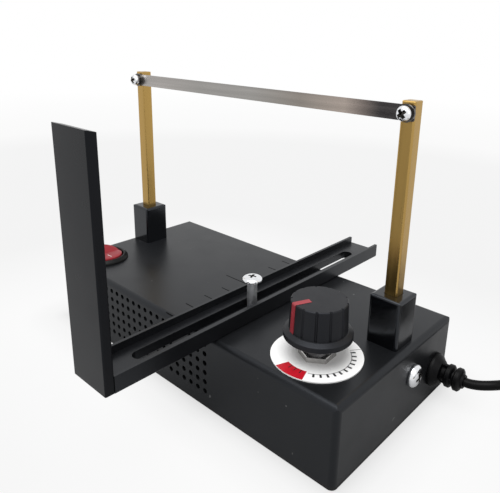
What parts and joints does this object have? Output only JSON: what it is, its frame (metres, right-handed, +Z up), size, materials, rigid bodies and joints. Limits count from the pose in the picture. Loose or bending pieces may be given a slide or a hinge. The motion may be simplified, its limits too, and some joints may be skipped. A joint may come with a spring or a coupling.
{
  "type": "bench-top hot ribbon cutter",
  "caption": "Low black box whose square brass posts hold a heated ribbon on edge to cut webbing, with a sliding length stop, a heat dial, a rocker switch and a mains cord.",
  "frame": {"origin": "middle of the base plate's underside, on the table", "axes": "+X from the switch end to the cord end, +Y from the vented front to the back, +Z up"},
  "size_m": [0.2552, 0.1875, 0.1169],
  "materials": {
    "cover_paint": "satin black paint",
    "base_paint": "satin black paint",
    "fence_paint": "satin black anodised look",
    "bright_steel": "bright zinc plate",
    "ribbon_steel": "rolled heating ribbon",
    "post_brass": "drawn square bar",
    "insulator_plastic": "moulded black",
    "knob_plastic": "moulded black",
    "pointer_red": "red line",
    "dial_white": "printed disc",
    "switch_black": "moulded black",
    "rocker_red": "moulded red",
    "cord_black": "smooth black cord",
    "plug_black": "moulded black",
    "tie_grey": "plain band",
    "pin_brass": "bright pins",
    "washer_fibre": "pressed fibre",
    "core_steel": "stacked laminations",
    "copper": "enamelled copper",
    "board_green": "solder mask",
    "terminal_green": "moulded green",
    "capacitor_blue": "sleeve",
    "sink_aluminium": "extruded",
    "wire_cover": "wire insulation"
  },
  "bodies": {
    "box": {"cover": "cover_paint", "base_plate": "base_paint", "cover_screws": "bright_steel", "insulator_left": "insulator_plastic", "insulator_right": "insulator_plastic", "post_left": "post_brass", "post_right": "post_brass", "blade": "ribbon_steel", "blade_screws": "bright_steel", "spring_washers": "bright_steel", "flat_washers": "bright_steel", "insulating_washers": "washer_fibre", "terminal_lugs": "pin_brass", "post_nuts": "bright_steel", "secondary_lead_left": "copper", "secondary_lead_right": "copper", "clamp_nut": "bright_steel", "dial_disc": "dial_white", "pot_body": "bright_steel", "pot_nut": "bright_steel", "switch_body": "switch_black", "switch_terminals": "pin_brass", "transformer_core": "core_steel", "transformer_winding": "copper", "transformer_spacers": "bright_steel", "transformer_screws": "bright_steel", "control_board": "board_green", "board_standoffs": "bright_steel", "board_screws": "bright_steel", "board_capacitor": "capacitor_blue", "board_heatsink": "sink_aluminium", "power_transistor": "knob_plastic", "board_terminals": "terminal_green", "mains_wires": "wire_cover", "cord_gland": "plug_black", "gland_nut": "plug_black", "cord_lead": "cord_black", "cord_coil": "cord_black", "cord_tail": "cord_black", "cord_tie": "tie_grey", "plug_body": "plug_black", "plug_pins": "pin_brass"},
    "fence": {"fence_rail": "fence_paint", "fence_upright": "fence_paint"},
    "clamp": {"clamp_screw": "bright_steel"},
    "knob": {"knob": "knob_plastic", "knob_pointer": "pointer_red", "pot_shaft": "bright_steel"},
    "rocker": {"switch_rocker": "rocker_red"}
  },
  "joints": [
    {"name": "fence_slide", "type": "slide", "parent": "box", "child": "fence", "axis": [0, 1, 0], "range_m": [-0.067, 0.0538]},
    {"name": "clamp_turn", "type": "hinge", "parent": "box", "child": "clamp", "pos_m": [0.0186, -0.0116, 0.0425], "axis": [0, 0, 1], "continuous": true},
    {"name": "knob_turn", "type": "hinge", "parent": "box", "child": "knob", "pos_m": [0.0579, -0.0203, 0.0383], "axis": [0, 0, 1], "range_deg": [0, 300]},
    {"name": "rocker_tip", "type": "hinge", "parent": "box", "child": "rocker", "pos_m": [-0.0668, -0.0255, 0.0285], "axis": [0, 1, 0], "range_deg": [-14, 0]}
  ]
}
